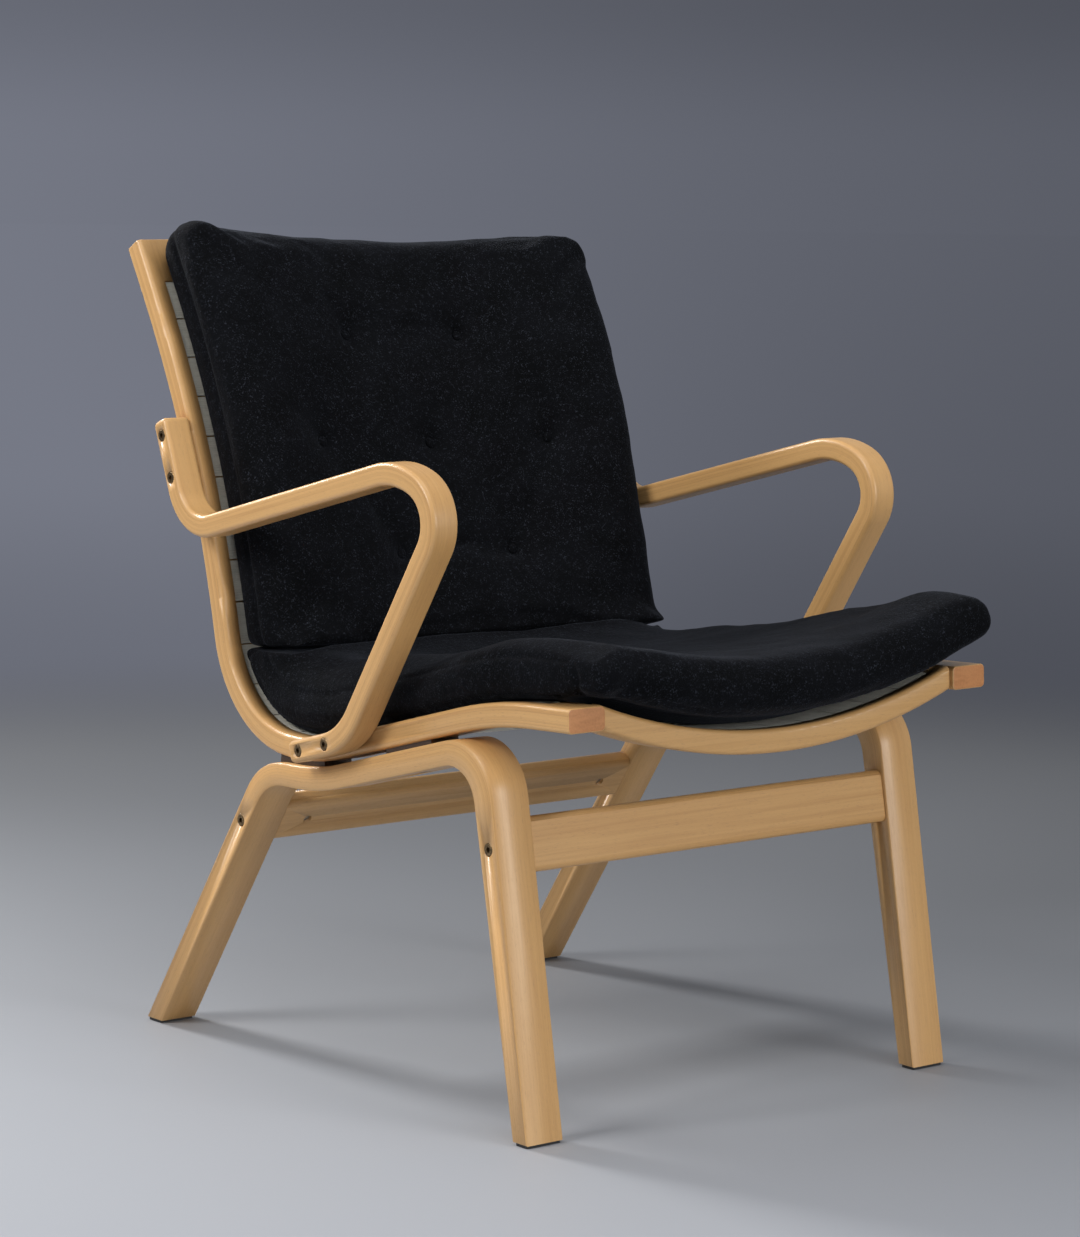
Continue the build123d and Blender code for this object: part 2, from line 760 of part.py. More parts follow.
def along_member(rise, begin, finish):
    """A smooth line between two places, risen square from the member's underside."""
    step = (finish - begin) / (run_points - 1)
    return Spline(*[member.at(begin + index * step, rise)[0] for index in range(run_points)])


def pad_limits(x, side_height, crown):
    """Underside and top of a pad above the member's underside at a distance from the middle."""
    inset = max(0.0, 1 - (cushion_half_width - abs(x)) / side_reach)
    fall = 1 - sqrt(1 - inset**2)
    swell = crown * (1 - (x / cushion_half_width) ** 2)
    under = member_thick + cushion_gap - sag(x)
    return under + under_draw * fall, under + side_height + top_draw * (1 - fall) + swell


seat_begin = -seat_overhang
seat_finish = cushion_join - cushion_gap / 2
back_begin = cushion_join + cushion_gap / 2
back_finish = member.length - back_setback

with BuildPart() as seat_cushion:
    for x in sorted(section_places):
        low, high = pad_limits(x, seat_side_height, seat_crown)
        with BuildSketch(Plane.YZ.offset(x)):
            with BuildLine():
                flat_begin = seat_begin + nose_reach
                join = member.at(seat_finish, low)[0]
                high_finish = member.place_at_height(join[1], high, dip_start)
                along_member(low, flat_begin, seat_finish)
                along_member(high, flat_begin, high_finish)
                ThreePointArc(
                    member.at(flat_begin, low)[0],
                    member.at(seat_begin, (low + high) / 2)[0],
                    member.at(flat_begin, high)[0],
                )
                Line(join, member.at(high_finish, high)[0])
            make_face()
    loft(ruled=True)
finish_piece(seat_cushion, "seat_cushion")

with BuildPart() as tuft:
    with BuildSketch(Plane.XZ):
        with BuildLine():
            hollow = TangentArc(
                (tuft_mouth, 0), (button_dia / 2 + cushion_gap, -tuft_depth), tangent=(-1, 0)
            )
            Polyline(hollow @ 1, (0, -tuft_depth), (0, tuft_depth), (tuft_mouth, tuft_depth),
                     (tuft_mouth, 0))
        make_face()
    revolve(axis=Axis.Z)

with BuildPart() as button:
    with BuildSketch():
        Circle(button_dia / 2)
    extrude(amount=button_height)
    fillet(button.faces().sort_by(Axis.Z)[-1].edges(), button_round)


def tuft_planes(sunk):
    """Planes looking out of the back cushion's face at each tuft, sunk below the face."""
    planes = []
    for place, count in zip(tuft_row_places, tuft_row_counts):
        for index in range(count):
            x = (index - (count - 1) / 2) * tuft_pitch
            high = pad_limits(x, back_side_height, back_crown)[1]
            planes.append(member.above(place, high - sunk, x))
    return planes


with BuildPart() as back_cushion:
    for x in sorted(section_places):
        low, high = pad_limits(x, back_side_height, back_crown)
        with BuildSketch(Plane.YZ.offset(x)):
            with BuildLine():
                flat_finish = back_finish - nose_reach
                join = member.at(back_begin, low)[0]
                high_begin = member.place_at_height(join[1], high, dip_start)
                along_member(low, back_begin, flat_finish)
                along_member(high, high_begin, flat_finish)
                ThreePointArc(
                    member.at(flat_finish, low)[0],
                    member.at(back_finish, (low + high) / 2)[0],
                    member.at(flat_finish, high)[0],
                )
                Line(join, member.at(high_begin, high)[0])
            make_face()
    loft(ruled=True)
    with Locations(*tuft_planes(0)):
        add(tuft.part, mode=Mode.SUBTRACT)
finish_piece(back_cushion, "back_cushion")

with BuildPart() as back_tuft_buttons:
    with Locations(*tuft_planes(tuft_depth - cushion_gap)):
        add(button.part)
finish_piece(back_tuft_buttons, "back_tuft_buttons")
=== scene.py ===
import json
from bisect import bisect
from math import cos, exp, pi, radians, sin, sqrt

import bmesh
import bpy
from mathutils import Matrix, Vector, kdtree, noise

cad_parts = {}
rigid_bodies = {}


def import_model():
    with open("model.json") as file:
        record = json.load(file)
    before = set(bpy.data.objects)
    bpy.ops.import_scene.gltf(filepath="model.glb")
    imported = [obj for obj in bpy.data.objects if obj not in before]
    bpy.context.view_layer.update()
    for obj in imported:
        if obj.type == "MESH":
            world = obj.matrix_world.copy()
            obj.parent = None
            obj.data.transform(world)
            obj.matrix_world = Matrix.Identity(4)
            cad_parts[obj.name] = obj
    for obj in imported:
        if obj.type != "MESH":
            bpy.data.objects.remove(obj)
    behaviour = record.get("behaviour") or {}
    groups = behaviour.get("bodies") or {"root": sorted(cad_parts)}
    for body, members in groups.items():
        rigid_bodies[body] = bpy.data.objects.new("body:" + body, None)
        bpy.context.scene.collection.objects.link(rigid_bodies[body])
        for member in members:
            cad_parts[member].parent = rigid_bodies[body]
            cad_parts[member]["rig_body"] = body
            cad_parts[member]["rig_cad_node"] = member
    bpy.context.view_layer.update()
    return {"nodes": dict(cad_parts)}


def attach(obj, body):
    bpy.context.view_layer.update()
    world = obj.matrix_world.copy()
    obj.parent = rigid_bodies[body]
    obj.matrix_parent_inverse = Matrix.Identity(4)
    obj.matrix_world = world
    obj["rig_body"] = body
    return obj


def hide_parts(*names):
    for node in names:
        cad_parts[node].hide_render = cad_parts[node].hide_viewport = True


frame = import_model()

nodes = frame["nodes"]

# --- Camera: low, in front of the chair and on the sitter's right --------------------------------
# A long lens at eye height for someone seated, tipped down a little.
camera_place = (-2.4258, -2.9928, 0.9433)
swung_right = radians(39.014)
tipped_down = radians(7.246)
leaning = radians(0.666)
backward = Vector((-sin(swung_right) * cos(tipped_down),
                   -cos(swung_right) * cos(tipped_down),
                   sin(tipped_down)))
level_side = Vector((cos(swung_right), -sin(swung_right), 0))
level_up = backward.cross(level_side)
side = cos(leaning) * level_side + sin(leaning) * level_up
up = cos(leaning) * level_up - sin(leaning) * level_side
camera_data = bpy.data.cameras.new("camera")
camera_data.lens = 107.67
camera_data.sensor_width = 36
camera_data.clip_end = 120
camera = bpy.data.objects.new("camera", camera_data)
bpy.context.scene.collection.objects.link(camera)
camera.matrix_world = Matrix.Translation(camera_place) @ Matrix(
    (side, up, backward)
).transposed().to_4x4()
bpy.context.scene.camera = camera
bpy.context.scene.view_settings.view_transform = "Standard"

# --- Floor and light -----------------------------------------------------------------------------
# A pale blue-grey studio floor. Far from the chair the camera sees it melt into a plain glowing
# backdrop, which light from the lamps doesn't reach. Both carry painted light: they are painted
# lighter towards the picture's left, the key lamp's side, and the floor is painted darker away from
# the chair.
black = (0, 0, 0)
painted_light_side = (-0.92, -0.38, 0)
floor_tint = (0.93, 0.98, 1.08)
backdrop_colour = (0.190, 0.202, 0.248)
# How the backdrop's painted light falls off from the key lamp's side across the picture.
backdrop_painted_falloff = {"low": -0.98, "high": -0.76, "least": 0.50, "most": 0.95}
melt_start, melt_end = 1.9, 3.1
colour_around = (0.235, 0.243, 0.262)


def feed(tree, socket, value):
    """Sets a socket to a number or a colour, or links another node's output to it."""
    if isinstance(value, (int, float)):
        socket.default_value = value
    elif isinstance(value, tuple):
        socket.default_value = (*value, 1)
    else:
        tree.links.new(value, socket)


def calc(tree, operation, *values, clamp=False):
    """A Math node; each value is a number or another node's output."""
    node = tree.nodes.new("ShaderNodeMath")
    node.operation = operation
    node.use_clamp = clamp
    for socket, value in zip(node.inputs, values):
        feed(tree, socket, value)
    return node.outputs[0]


def soft_step(tree, value, low, high, least=0.0, most=1.0):
    """Goes smoothly from least to most while the value goes from low to high."""
    node = tree.nodes.new("ShaderNodeMapRange")
    node.interpolation_type = "SMOOTHSTEP"
    tree.links.new(value, node.inputs["Value"])
    limits = {"From Min": low, "From Max": high, "To Min": least, "To Max": most}
    for name, number in limits.items():
        node.inputs[name].default_value = number
    return node.outputs["Result"]


def blend_colours(tree, share, first, second):
    """A colour between two; share, first and second are numbers, colours or outputs."""
    node = tree.nodes.new("ShaderNodeMix")
    node.data_type = "RGBA"
    for index, value in ((0, share), (6, first), (7, second)):
        feed(tree, node.inputs[index], value)
    return node.outputs[2]


def towards_painted_light_side(tree, place):
    """How far a place or a direction lies towards the side with painted light, the key lamp's side.
    """
    node = tree.nodes.new("ShaderNodeVectorMath")
    node.operation = "DOT_PRODUCT"
    node.inputs[1].default_value = painted_light_side
    tree.links.new(place, node.inputs[0])
    return node.outputs["Value"]


def plain_look(name, **fixed):
    """A material with one Principled shader; the fixed values go on its own sockets."""
    look = bpy.data.materials.new(name)
    look.use_nodes = True
    shader = look.node_tree.nodes["Principled BSDF"]
    for key, value in fixed.items():
        shader.inputs[key.replace("_", " ").title()].default_value = value
    return look, look.node_tree, shader


bpy.ops.object.select_all(action="DESELECT")
bpy.ops.mesh.primitive_circle_add(vertices=64, radius=40, fill_type="NGON")
floor = bpy.context.object
floor.name = "floor"
floor_look, tree, shader = plain_look("studio_floor", roughness=0.62)
place = tree.nodes.new("ShaderNodeTexCoord").outputs["Object"]
length = tree.nodes.new("ShaderNodeVectorMath")
length.operation = "LENGTH"
tree.links.new(place, length.inputs[0])
from_chair = length.outputs["Value"]
painted_light_share = towards_painted_light_side(tree, place)
# Painted light: the floor's colour is lighter towards the key lamp's side and darker away from the
# chair, standing in for the lamps' falloff.
painted_floor_light = calc(
    tree, "MULTIPLY",
    soft_step(tree, painted_light_share, low=-1.1, high=0.8, least=0.165, most=0.40),
    soft_step(tree, from_chair, low=0.9, high=2.9, least=1.0, most=0.66),
)
tree.links.new(blend_colours(tree, painted_floor_light, black, floor_tint), shader.inputs["Base Color"])
# Painted light: the glowing backdrop past the floor is painted lighter towards the key lamp's side
# and further out.
painted_backdrop_light = calc(
    tree, "MULTIPLY",
    soft_step(tree, calc(tree, "DIVIDE", painted_light_share, from_chair), **backdrop_painted_falloff),
    soft_step(tree, from_chair, low=2.4, high=7.0, least=0.80),
)
glow = tree.nodes.new("ShaderNodeEmission")
tree.links.new(blend_colours(tree, painted_backdrop_light, black, backdrop_colour), glow.inputs["Color"])
seen = tree.nodes.new("ShaderNodeLightPath")
melt = soft_step(tree, from_chair, melt_start, melt_end)
melt = calc(tree, "MULTIPLY", melt, seen.outputs["Is Camera Ray"])
mixed = tree.nodes.new("ShaderNodeMixShader")
tree.links.new(melt, mixed.inputs[0])
tree.links.new(shader.outputs[0], mixed.inputs[1])
tree.links.new(glow.outputs[0], mixed.inputs[2])
tree.links.new(mixed.outputs[0], tree.nodes["Material Output"].inputs["Surface"])
floor.data.materials.append(floor_look)

world = bpy.data.worlds.new("studio")
bpy.context.scene.world = world
world.use_nodes = True
tree = world.node_tree
background = tree.nodes["Background"]
background.inputs["Strength"].default_value = 1
direction = tree.nodes.new("ShaderNodeTexCoord").outputs["Generated"]
height = tree.nodes.new("ShaderNodeSeparateXYZ")
tree.links.new(direction, height.inputs[0])
# Painted light: the world's backdrop is painted lighter towards the key lamp's side and darker above
# the horizon.
painted_wall_light = calc(
    tree, "MULTIPLY",
    soft_step(tree, towards_painted_light_side(tree, direction), **backdrop_painted_falloff),
    soft_step(tree, height.outputs[2], low=-0.002, high=0.045, least=1.0, most=0.76),
)
wall_colour = blend_colours(tree, painted_wall_light, black, backdrop_colour)
seen = tree.nodes.new("ShaderNodeLightPath").outputs["Is Camera Ray"]
tree.links.new(
    blend_colours(tree, seen, colour_around, wall_colour), background.inputs["Color"])


def soft_lamp(name, place, aim_height, size, watts, colour):
    """A square studio lamp that faces the chair."""
    lamp = bpy.data.lights.new(name, "AREA")
    lamp.shape = "SQUARE"
    lamp.size = size
    lamp.energy = watts
    lamp.color = colour
    stand = bpy.data.objects.new(name, lamp)
    bpy.context.scene.collection.objects.link(stand)
    stand.location = place
    facing = Vector((0, 0, aim_height)) - Vector(place)
    stand.rotation_euler = facing.to_track_quat("-Z", "Y").to_euler()


soft_lamp("key_lamp", (-3.2, 0.2, 2.5), aim_height=0.4, size=1.3, watts=82, colour=(1, 0.97, 0.93))
soft_lamp("rear_lamp", (-0.8, 3.1, 2.5), aim_height=0.3, size=0.8, watts=105, colour=(1, 0.98, 0.95))
soft_lamp("top_lamp", (-0.4, -1.0, 3.6), aim_height=0.4, size=2.2, watts=36, colour=(1, 1, 1))
soft_lamp("fill_lamp", (0.8, -3.9, 1.3), aim_height=0.4, size=1.6, watts=64, colour=(1, 0.98, 0.95))

# --- Side members --------------------------------------------------------------------------------
# Two bent bars, each the seat's and the back's side in one, bolted to the base frames from below.
# All the timber is lacquered beech in thin veneers glued over a form, so the grain follows every
# bend, and thin glue lines run along the side faces.


def bent_line(start, heading, runs, step=0.002):
    """Points, tangents and distances along a line of (length, turn in degrees) runs, in metres."""
    y, z = start
    angle = radians(heading)
    places = [(0.0, Vector((y, z)), Vector((cos(angle), sin(angle))))]
    reached = 0.0
    for length, turn in runs:
        count = max(2, round(length / step))
        for index in range(count):
            half = radians(turn) / count / 2
            angle += half
            y += cos(angle) * length / count
            z += sin(angle) * length / count
            angle += half
            reached += length / count
            places.append((reached, Vector((y, z)), Vector((cos(angle), sin(angle)))))
    return places


# Straights and bends along the side members' underside, as (length, turn in degrees).
member_runs = ((0.060, 0), (0.10712, -12.5), (0.2045, 0), (0.10108, 19.5), (0.17607, 73.1),
               (0.0134, 0), (0.36146, -17.9), (0.060, 0))
member_line = bent_line((-0.3808, 0.4044), -2.6, member_runs)


def nearest_on(line):
    """Returns a function that gives a point's distance along a line and its height above it."""
    tree = kdtree.KDTree(len(line))
    for index, (reached, place, tangent) in enumerate(line):
        tree.insert((0, place.x, place.y), index)
    tree.balance()

    def find(co):
        reached, place, tangent = line[tree.find((0, co.y, co.z))[1]]
        away = Vector((co.y, co.z)) - place
        return reached + away.dot(tangent), away.y * tangent.x - away.x * tangent.y

    return find


def keep_grain(piece, values):
    """Stores each point's place along, across and above its timber, in metres."""
    grain = piece.data.attributes.new("grain_place", "FLOAT_VECTOR", "POINT")
    grain.data.foreach_set("vector", values)


def along_the_bend(piece, line, shift):
    """Grain for a bar bent in the side view, and end grain on its two end faces."""
    find = nearest_on(line)
    whole = line[-1][0]
    end_depth = 0.002
    square_on = 0.9
    values = []
    for vertex in piece.data.vertices:
        reached, rise = find(vertex.co)
        values += [reached + shift, vertex.co.x, rise]
    keep_grain(piece, values)
    for face in piece.data.polygons:
        reached, rise = find(face.center)
        tangent = line[0][2] if reached < whole / 2 else line[-1][2]
        at_end = reached < end_depth or reached > whole - end_depth
        if at_end and abs(face.normal.y * tangent.x + face.normal.z * tangent.y) > square_on:
            face.material_index = 1


beech = bpy.data.node_groups.new("beech_grain", "ShaderNodeTree")
for name, kind in (("Place", "NodeSocketVector"), ("Pale", "NodeSocketColor"),
                   ("Deep", "NodeSocketColor"), ("Figure", "NodeSocketFloat"),
                   ("Glue Lines", "NodeSocketFloat")):
    beech.interface.new_socket(name, in_out="INPUT", socket_type=kind)
for name, kind in (("Color", "NodeSocketColor"), ("Roughness", "NodeSocketFloat"),
                   ("Height", "NodeSocketFloat")):
    beech.interface.new_socket(name, in_out="OUTPUT", socket_type=kind)
given = beech.nodes.new("NodeGroupInput").outputs
split = beech.nodes.new("ShaderNodeSeparateXYZ")
beech.links.new(given["Place"], split.inputs[0])
along, across, above = split.outputs


def stretched_noise(tree, parts, scales, detail, seed=0.0):
    """Noise with its own scale in each direction."""
    joined = tree.nodes.new("ShaderNodeCombineXYZ")
    for socket, part, scale in zip(joined.inputs, parts, scales):
        tree.links.new(calc(tree, "MULTIPLY_ADD", part, scale, seed), socket)
    texture = tree.nodes.new("ShaderNodeTexNoise")
    texture.inputs["Scale"].default_value = 1
    texture.inputs["Detail"].default_value = detail
    tree.links.new(joined.outputs[0], texture.inputs["Vector"])
    return texture.outputs["Fac"]


# Each ply has a tone of its own, and a glue line on each side of it.
ply_thick = 0.003
ply = calc(beech, "MULTIPLY", above, 1 / ply_thick)
ply_shifted = calc(beech, "ADD", ply, 0.25)
ply_random = beech.nodes.new("ShaderNodeTexWhiteNoise")
ply_random.noise_dimensions = "1D"
beech.links.new(calc(beech, "FLOOR", ply_shifted), ply_random.inputs["W"])
ply_tone = ply_random.outputs["Value"]
facing = beech.nodes.new("ShaderNodeSeparateXYZ")
beech.links.new(beech.nodes.new("ShaderNodeNewGeometry").outputs["Normal"], facing.inputs[0])
side_face = soft_step(beech, calc(beech, "ABSOLUTE", facing.outputs[0]), 0.80, 0.97)
seam_gap = calc(beech, "SUBTRACT", calc(beech, "FRACT", ply_shifted), 0.5)
glue = soft_step(beech, calc(beech, "ABSOLUTE", seam_gap), 0.42, 0.49)
for share in (side_face, calc(beech, "MULTIPLY_ADD", ply_tone, 0.9, 0.1), given["Glue Lines"]):
    glue = calc(beech, "MULTIPLY", glue, share)

# Broad figure, fine streaks and short dark flecks, all drawn out along the grain.
broad = stretched_noise(beech, (along, across, above), (2.6, 46, 190), 3)
streaks = stretched_noise(beech, (along, across, above), (9, 420, 420), 2, 31)
pores = stretched_noise(beech, (along, across, above), (150, 1700, 1700), 1, 57)
flecks = soft_step(beech, pores, 0.60, 0.72)
depth = calc(beech, "MULTIPLY", calc(beech, "SUBTRACT", broad, 0.36), 2.1)
for tone, weight in ((streaks, 1.3), (ply_tone, calc(beech, "MULTIPLY", side_face, 0.7))):
    depth = calc(beech, "MULTIPLY_ADD", calc(beech, "SUBTRACT", tone, 0.5), weight, depth)
depth = calc(beech, "MULTIPLY", depth, given["Figure"], clamp=True)
timber_colour = blend_colours(beech, depth, given["Pale"], given["Deep"])
timber_colour = blend_colours(
    beech, calc(beech, "MULTIPLY", flecks, 0.30), timber_colour, (0.36, 0.20, 0.10))
timber_colour = blend_colours(beech, glue, timber_colour, (0.22, 0.12, 0.055))
result = beech.nodes.new("NodeGroupOutput")
beech.links.new(timber_colour, result.inputs["Color"])
beech.links.new(
    calc(beech, "MULTIPLY_ADD", streaks, 0.16, calc(beech, "MULTIPLY_ADD", flecks, 0.10, 0.30)),
    result.inputs["Roughness"])
beech.links.new(
    calc(beech, "SUBTRACT", calc(beech, "MULTIPLY", streaks, 0.5), calc(
        beech, "ADD", calc(beech, "MULTIPLY", flecks, 0.5), calc(beech, "MULTIPLY", glue, 0.8))),
    result.inputs["Height"])


def timber_look(name, pale, deep, figure=0.55, glue_lines=0.45, from_grain=True, coat=0.14):
    """Lacquered timber; the place in it comes from the stored grain or from the piece itself."""
    look, tree, shader = plain_look(name, coat_weight=coat, coat_roughness=0.22)
    if from_grain:
        source = tree.nodes.new("ShaderNodeAttribute")
        source.attribute_name = "grain_place"
        source = source.outputs["Vector"]
    else:
        source = tree.nodes.new("ShaderNodeTexCoord").outputs["Object"]
    group = tree.nodes.new("ShaderNodeGroup")
    group.node_tree = beech
    tree.links.new(source, group.inputs["Place"])
    group.inputs["Pale"].default_value = (*pale, 1)
    group.inputs["Deep"].default_value = (*deep, 1)
    group.inputs["Figure"].default_value = figure
    group.inputs["Glue Lines"].default_value = glue_lines
    tree.links.new(group.outputs["Color"], shader.inputs["Base Color"])
    tree.links.new(group.outputs["Roughness"], shader.inputs["Roughness"])
    raised = tree.nodes.new("ShaderNodeBump")
    raised.inputs["Strength"].default_value = 0.35
    raised.inputs["Distance"].default_value = 0.0002
    tree.links.new(group.outputs["Height"], raised.inputs["Height"])
    tree.links.new(raised.outputs["Normal"], shader.inputs["Normal"])
    return look


beech_look = timber_look("beech_lacquered", (0.65, 0.385, 0.155), (0.49, 0.255, 0.085), figure=0.62)
beech_end_look = timber_look(
    "beech_end_grain", (0.56, 0.25, 0.095), (0.40, 0.16, 0.055), figure=0.8, glue_lines=0.7)


def timber_copy(name):
    """A copy of a timber's packed form, its loose triangles joined and its edges soft."""
    piece = nodes[name].copy()
    piece.data = nodes[name].data.copy()
    piece.name = name + "_timber"
    piece.data.name = piece.name
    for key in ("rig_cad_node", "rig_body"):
        if key in piece:
            del piece[key]
    piece.parent = None
    bpy.context.scene.collection.objects.link(piece)
    shape = bmesh.new()
    shape.from_mesh(piece.data)
    bmesh.ops.remove_doubles(shape, verts=shape.verts, dist=0.00002)
    shape.to_mesh(piece.data)
    shape.free()
    piece.data.materials.clear()
    piece.data.materials.append(beech_look)
    piece.data.materials.append(beech_end_look)
    bpy.ops.object.select_all(action="DESELECT")
    piece.select_set(True)
    bpy.context.view_layer.objects.active = piece
    bpy.ops.object.shade_smooth_by_angle(angle=radians(35))
    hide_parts(name)
    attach(piece, "root")
    return piece


# Each bar's grain starts at a place of its own, so no two bars look the same.
for name, shift in (("side_member_right", 0.0), ("side_member_left", 3.1)):
    along_the_bend(timber_copy(name), member_line, shift)

# --- Arms ----------------------------------------------------------------------------------------
# Each arm is one bent beech bar that loops from the seat up to the back. Two bolts hold each end to
# the outside of a side member.
arm_runs = ((0.059, 0), (0.06121, -41.75), (0.20795, 0), (0.07378, -100.65), (0.05973, -36.8),
            (0.29839, 0), (0.0761, 82.894), (0.077, 0))
arm_line = bent_line((0.02414, 0.33618), 164.9, arm_runs)
for name, shift in (("arm_right", 7.3), ("arm_left", 11.9)):
    along_the_bend(timber_copy(name), arm_line, shift)

# --- Base frames ---------------------------------------------------------------------------------
# A front leg, a top run and a rear leg in one bent beech bar, one on each side. The side members
# stand on their top runs.


def rounded_path(corners, radii):
    """The same kind of line, through corners with a radius at each."""
    points = [Vector(corner) for corner in corners]
    trims = [0.0]
    turns = []
    for before, here, after, radius in zip(points, points[1:], points[2:], radii):
        turn = (here - before).angle_signed(after - here)
        turns.append(-turn)
        trims.append(radius * abs(sin(turn / 2) / cos(turn / 2)))
    trims.append(0.0)
    runs = []
    for index in range(len(points) - 1):
        straight = (points[index + 1] - points[index]).length - trims[index] - trims[index + 1]
        runs.append((straight, 0))
        if index < len(turns):
            runs.append((radii[index] * abs(turns[index]), turns[index] * 180 / pi))
    heading = -Vector((1, 0)).angle_signed(points[1] - points[0])
    return bent_line(corners[0], heading * 180 / pi, runs)


base_line = rounded_path(
    ((-0.3212, 0.003), (-0.2499, 0.377), (0.0134, 0.30595), (0.1091, 0.3031), (0.3130, 0.003)),
    (0.049, 0.314, 0.066),
)
for name, shift in (("base_frame_right", 17.0), ("base_frame_left", 23.7)):
    along_the_bend(timber_copy(name), base_line, shift)

# --- Rails and stretchers ------------------------------------------------------------------------
# Two bowed beech rails make the hollow at the seat's front and the back's top, doweled between the
# side members. Two beech boards tie the legs, each end on a bolt and a dowel.


def across_the_chair(piece, middle, shift):
    """Grain for a bar that runs across the chair."""
    values = []
    for vertex in piece.data.vertices:
        values += [vertex.co.x + shift, vertex.co.y - middle[0], vertex.co.z - middle[1]]
    keep_grain(piece, values)


for name, middle, shift in (
    ("front_rail", (-0.354, 0.380), 31.0),
    ("top_rail", (0.365, 0.800), 37.0),
    ("front_stretcher", (-0.2683, 0.2795), 41.0),
    ("rear_stretcher", (0.1479, 0.2460), 47.0),
):
    across_the_chair(timber_copy(name), middle, shift)

# --- Dowels, spacers and glides ------------------------------------------------------------------
# Turned beech dowels lie half in each timber. Dark stained blocks lift the side members off the
# base frames, and black plastic glides sit under the feet.


def dress(node, look):
    """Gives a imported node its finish, with its shape left alone."""
    nodes[node].data.materials.clear()
    nodes[node].data.materials.append(look)


dowel_look = timber_look(
    "beech_dowel", (0.64, 0.42, 0.23), (0.50, 0.30, 0.15), from_grain=False, coat=0)
for name in ("stretcher_dowels", "rail_dowels"):
    dress(name, dowel_look)
dress("seat_spacers", timber_look(
    "stained_spacer", (0.050, 0.028, 0.016), (0.022, 0.012, 0.008), glue_lines=0.0,
    from_grain=False, coat=0.1))

glide_look, tree, shader = plain_look("black_plastic", base_color=(0.022, 0.022, 0.023, 1))
grit = tree.nodes.new("ShaderNodeTexNoise")
grit.inputs["Scale"].default_value = 1800
tree.links.new(tree.nodes.new("ShaderNodeTexCoord").outputs["Object"], grit.inputs["Vector"])
rough = soft_step(tree, grit.outputs["Fac"], 0.3, 0.7, 0.42, 0.60)
tree.links.new(rough, shader.inputs["Roughness"])
raised = tree.nodes.new("ShaderNodeBump")
raised.inputs["Strength"].default_value = 0.3
raised.inputs["Distance"].default_value = 0.0002
tree.links.new(grit.outputs["Fac"], raised.inputs["Height"])
tree.links.new(raised.outputs["Normal"], shader.inputs["Normal"])
dress("foot_glides", glide_look)

# --- Bolts, inserts and barrel nuts --------------------------------------------------------------
# Socket bolts with flush round heads, bronzed dark over steel, turn into zinc plated inserts and
# barrel nuts. The tool has rubbed the heads lighter in places.


def metal_look(name, tone, dark, rough_low, rough_high):
    """Bare or plated metal, darker and duller in patches."""
    look, tree, shader = plain_look(name, metallic=1.0)
    patches = tree.nodes.new("ShaderNodeTexNoise")
    patches.inputs["Scale"].default_value = 420
    patches.inputs["Detail"].default_value = 3
    tree.links.new(
        tree.nodes.new("ShaderNodeTexCoord").outputs["Object"], patches.inputs["Vector"])
    worn = soft_step(tree, patches.outputs["Fac"], 0.38, 0.66)
    tree.links.new(blend_colours(tree, worn, dark, tone), shader.inputs["Base Color"])
    tree.links.new(
        calc(tree, "MULTIPLY_ADD", worn, rough_low - rough_high, rough_high),
        shader.inputs["Roughness"])
    return look


bronze_look = metal_look("bronzed_steel", (0.30, 0.205, 0.105), (0.12, 0.080, 0.042), 0.34, 0.52)
zinc_look = metal_look("zinc_plate", (0.62, 0.62, 0.60), (0.44, 0.44, 0.42), 0.30, 0.48)
for name in ("stretcher_bolts", "arm_bolts", "frame_bolts"):
    dress(name, bronze_look)
for name in ("stretcher_barrel_nuts", "arm_insert_nuts", "frame_insert_nuts"):
    dress(name, zinc_look)

# --- Webbing -------------------------------------------------------------------------------------
# Flat linen straps, plaited over and under. The cross straps end on the side members' shelves and
# the long ones on the two rails.
member_thick = 0.024
member_inner = 0.229
dish = 0.042
dish_radius = (member_inner**2 + dish**2) / (2 * dish)
member_reached = [reached for reached, place, tangent in member_line]

# Where the long straps are drawn up out of the hollow, by their distance along the members.
tight_from, tightening = 0.07, 0.24
tight_until, slackening = 0.80, 0.20


def ease(share):
    """Goes smoothly from 0 to 1 with the share."""
    share = min(1.0, max(0.0, share))
    return share * share * (3 - 2 * share)


def tightness(place):
    """From 0 at the rails to 1 in the bend, where the long straps are drawn up most."""
    return ease((place - tight_from) / tightening) * ease((tight_until - place) / slackening)


def sag(x, place, drawn_up=0.74):
    """How far the webbing lies below the side members' faces."""
    if abs(x) >= member_inner:
        return 0.0
    hollow = dish - dish_radius + sqrt(dish_radius**2 - x * x)
    return hollow * (1 - drawn_up * tightness(place))


def on_member(place, rise):
    """Point (y, z) at a place along the side member's underside, risen square from it."""
    index = min(max(bisect(member_reached, place) - 1, 0), len(member_line) - 2)
    reached, spot, tangent = member_line[index]
    after = member_line[index + 1]
    share = (place - reached) / (after[0] - reached)
    if 0 <= share <= 1:
        tangent = tangent.lerp(after[2], share).normalized()
        spot = spot.lerp(after[1], share)
    else:
        tangent = tangent if share < 0 else after[2]
        spot = spot + tangent * (place - reached)
    return spot.x - rise * tangent.y, spot.y + rise * tangent.x


# The slits between the cross straps are evenly spaced along the members' upper faces.
face_travel = [0.0]
for before, after in zip(member_line, member_line[1:]):
    turn = before[2].angle_signed(after[2])
    face_travel.append(face_travel[-1] + after[0] - before[0] + member_thick * turn)
cross_count = 21
strap_pitch = 0.0447
last_slit = 1.00727
slits = []
for count in range(cross_count + 1):
    travel = last_slit - count * strap_pitch
    index = bisect(face_travel, travel) - 1
    low, high = face_travel[index:index + 2]
    start, finish = member_reached[index:index + 2]
    slits.append(start + (travel - low) / (high - low) * (finish - start))
slits.reverse()

